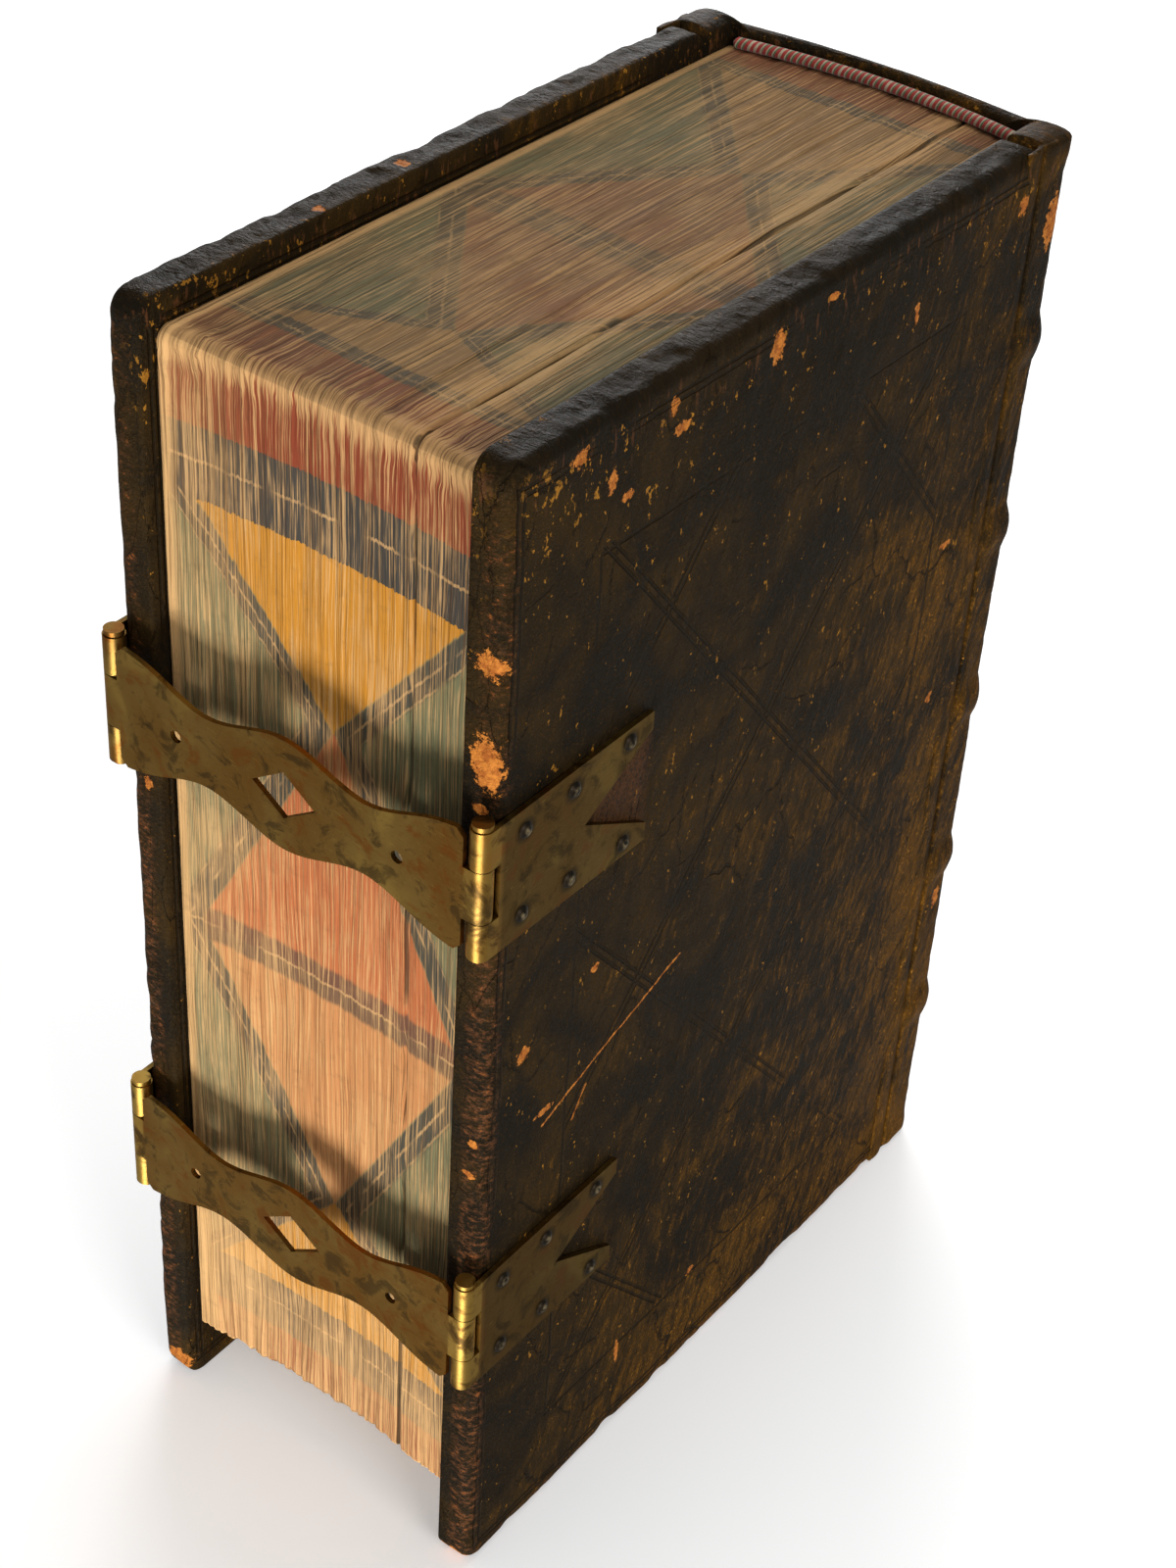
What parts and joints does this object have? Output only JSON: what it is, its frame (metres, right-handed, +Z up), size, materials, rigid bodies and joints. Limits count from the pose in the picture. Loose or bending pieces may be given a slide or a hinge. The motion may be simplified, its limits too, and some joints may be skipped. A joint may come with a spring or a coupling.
{
  "type": "antique leather book",
  "caption": "Thick leather-bound book with wooden boards, raised bands, painted page edges and hinged brass clasps, standing on its tail.",
  "frame": {"origin": "middle of the footprint, on the surface that the tail edges stand on", "axes": "+Z up from tail to head, +Y from the fore edge to the spine, +X from the front board to the rear board"},
  "size_m": [0.0704, 0.141, 0.205],
  "materials": {
    "painted_pages": "painted page edges, worn",
    "plain_paper": "aged laid paper",
    "dark_leather": "dark brown calf, rubbed and scuffed",
    "board_wood": "split oak",
    "hemp_cord": "twisted hemp",
    "headband_thread": "red, white and green thread over a core",
    "aged_brass": "dull, stained",
    "nail_metal": "dull, worn grey"
  },
  "bodies": {
    "block": {"text_block": "painted_pages", "spine_leather": "dark_leather", "head_band": "headband_thread", "tail_band": "headband_thread", "sewing_cord_1": "hemp_cord", "sewing_cord_2": "hemp_cord", "sewing_cord_3": "hemp_cord", "sewing_cord_4": "hemp_cord", "sewing_cord_5": "hemp_cord"},
    "front_cover": {"front_board": "board_wood", "front_leather": "dark_leather", "front_pastedown": "plain_paper", "catch_plate_upper": "aged_brass", "catch_pin_upper": "aged_brass", "catch_nails_upper": "nail_metal", "catch_plate_lower": "aged_brass", "catch_pin_lower": "aged_brass", "catch_nails_lower": "nail_metal"},
    "rear_cover": {"rear_board": "board_wood", "rear_leather": "dark_leather", "rear_pastedown": "plain_paper", "anchor_plate_upper": "aged_brass", "anchor_pin_upper": "aged_brass", "anchor_nails_upper": "nail_metal", "anchor_plate_lower": "aged_brass", "anchor_pin_lower": "aged_brass", "anchor_nails_lower": "nail_metal"},
    "strap_upper": {"clasp_strap_upper": "aged_brass"},
    "strap_lower": {"clasp_strap_lower": "aged_brass"}
  },
  "joints": [
    {"name": "front_cover_open", "type": "hinge", "parent": "block", "child": "front_cover", "pos_m": [-0.03375, 0.0577, 0.1025], "axis": [0, 0, -1], "range_deg": [0, 60]},
    {"name": "rear_cover_open", "type": "hinge", "parent": "block", "child": "rear_cover", "pos_m": [0.03375, 0.0577, 0.1025], "axis": [0, 0, 1], "range_deg": [0, 60]},
    {"name": "clasp_upper_swing", "type": "hinge", "parent": "rear_cover", "child": "strap_upper", "pos_m": [0.03285, -0.0688, 0.1425], "axis": [0, 0, 1], "range_deg": [0, 170]},
    {"name": "clasp_lower_swing", "type": "hinge", "parent": "rear_cover", "child": "strap_lower", "pos_m": [0.03285, -0.0688, 0.0575], "axis": [0, 0, 1], "range_deg": [0, 170]}
  ],
  "couplings": [
    {"joint": "rear_cover_open", "follows": "front_cover_open", "ratio": 1},
    {"joint": "clasp_upper_swing", "follows": "front_cover_open", "ratio": 2.8333},
    {"joint": "clasp_lower_swing", "follows": "front_cover_open", "ratio": 2.8333}
  ]
}
